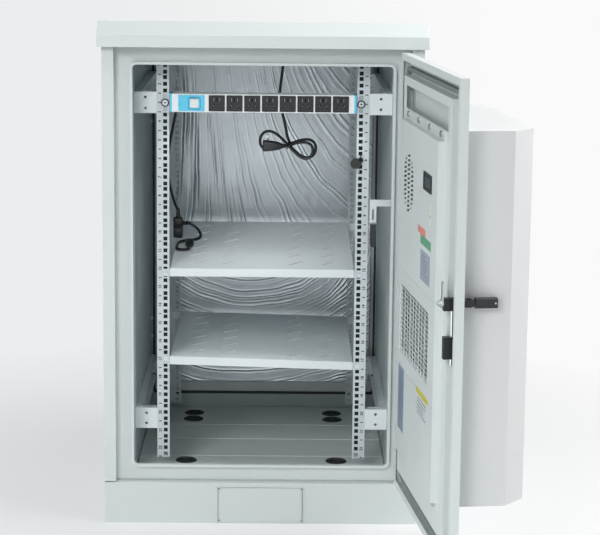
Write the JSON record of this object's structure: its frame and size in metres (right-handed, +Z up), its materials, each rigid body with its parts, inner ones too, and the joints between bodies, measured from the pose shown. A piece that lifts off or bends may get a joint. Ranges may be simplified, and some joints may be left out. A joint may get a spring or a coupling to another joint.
{
  "type": "roadside utility cabinet",
  "caption": "Grey steel roadside utility cabinet with its insulated door open, a rack with power strip and shelves inside and a cooling unit in the door",
  "frame": {"origin": "centre of the plinth's underside, between the four anchor holes", "axes": "+Z up, the open front towards -Y, the hinge side towards +X"},
  "size_m": [0.9448, 1.4642, 1.2035],
  "materials": {
    "grey_paint": "light grey powder coat, fine satin",
    "rack_paint": "pale grey coat, satin",
    "zinc_steel": "zinc plated",
    "black_rubber": "matt black",
    "black_plastic": "satin black moulding",
    "blue_plastic": "light blue moulding",
    "white_plastic": "white moulding",
    "foil": "crinkled foil facing"
  },
  "bodies": {
    "cabinet": {"plinth": "grey_paint", "plinth_cover": "grey_paint", "panel_screws": "zinc_steel", "base_pan": "grey_paint", "floor_plates": "rack_paint", "floor_grommets": "black_rubber", "side_left": "grey_paint", "side_right": "grey_paint", "liner_left": "grey_paint", "liner_right": "grey_paint", "front_frame": "grey_paint", "rear_frame": "grey_paint", "rear_panel": "grey_paint", "rear_gasket": "black_rubber", "rear_foil": "foil", "top_plate": "grey_paint", "roof": "grey_paint", "rails_left": "rack_paint", "rails_right": "rack_paint", "post_front_left": "rack_paint", "post_front_right": "rack_paint", "post_rear_left": "rack_paint", "post_rear_right": "rack_paint", "shelf_upper": "rack_paint", "shelf_lower": "rack_paint", "strip_body": "rack_paint", "strip_caps": "blue_plastic", "strip_ears": "zinc_steel", "strip_switch": "blue_plastic", "strip_sockets": "black_plastic", "strip_screws": "zinc_steel", "switch_bracket": "zinc_steel", "door_switch": "black_plastic", "keys": "black_plastic", "hinge_frame": "zinc_steel", "ceiling_gland": "black_plastic", "lead_tube": "black_rubber", "lead_hank": "black_rubber", "lead_plug": "black_rubber", "tail_tube": "black_rubber", "tail_adapter": "black_plastic"},
    "door": {"door_skin": "grey_paint", "door_seal": "black_rubber", "door_liner": "grey_paint", "hinge_door": "zinc_steel", "cool_cover": "grey_paint", "cool_bulkhead": "zinc_steel", "cool_panel": "grey_paint", "cool_grille": "grey_paint", "cool_display": "black_plastic", "cool_bolts": "zinc_steel", "lock_case": "black_plastic", "rod_guide": "black_plastic", "handle_base": "black_plastic"},
    "blower": {"blower_wheel": "zinc_steel"},
    "fan": {"condenser_fan": "black_plastic"},
    "rod": {"lock_rod": "zinc_steel"},
    "cam": {"lock_cam": "zinc_steel"},
    "lever": {"handle_lever": "black_plastic"},
    "rocker": {"strip_rocker": "white_plastic"}
  },
  "joints": [
    {"name": "door_swing", "type": "hinge", "parent": "cabinet", "child": "door", "pos_m": [0.34525, -0.381, 0.62], "axis": [0, 0, 1], "range_deg": [-96.4, 13.6]},
    {"name": "handle_turn", "type": "hinge", "parent": "door", "child": "cam", "pos_m": [0.41557, -1.01687, 0.676], "axis": [0.9938, 0.1115, 0], "range_deg": [0, 90]},
    {"name": "lever_fold", "type": "hinge", "parent": "cam", "child": "lever", "pos_m": [0.43246, -1.01498, 0.676], "axis": [-0.1115, 0.9938, 0], "range_deg": [-90, 0]},
    {"name": "rod_slide", "type": "slide", "parent": "door", "child": "rod", "axis": [0, 0, -1], "range_m": [0, 0.009]},
    {"name": "blower_spin", "type": "hinge", "parent": "door", "child": "blower", "pos_m": [0.34552, -0.61669, 0.867], "axis": [0.9938, 0.1115, 0], "continuous": true},
    {"name": "fan_spin", "type": "hinge", "parent": "door", "child": "fan", "pos_m": [0.44435, -0.7173, 0.817], "axis": [0.9938, 0.1115, 0], "continuous": true},
    {"name": "strip_rock", "type": "hinge", "parent": "cabinet", "child": "rocker", "pos_m": [-0.163, -0.287, 1.00758], "axis": [1, 0, 0], "range_deg": [-14, 0]}
  ],
  "couplings": [
    {"joint": "handle_turn", "follows": "rod_slide", "rad_per_m": 174.53}
  ]
}
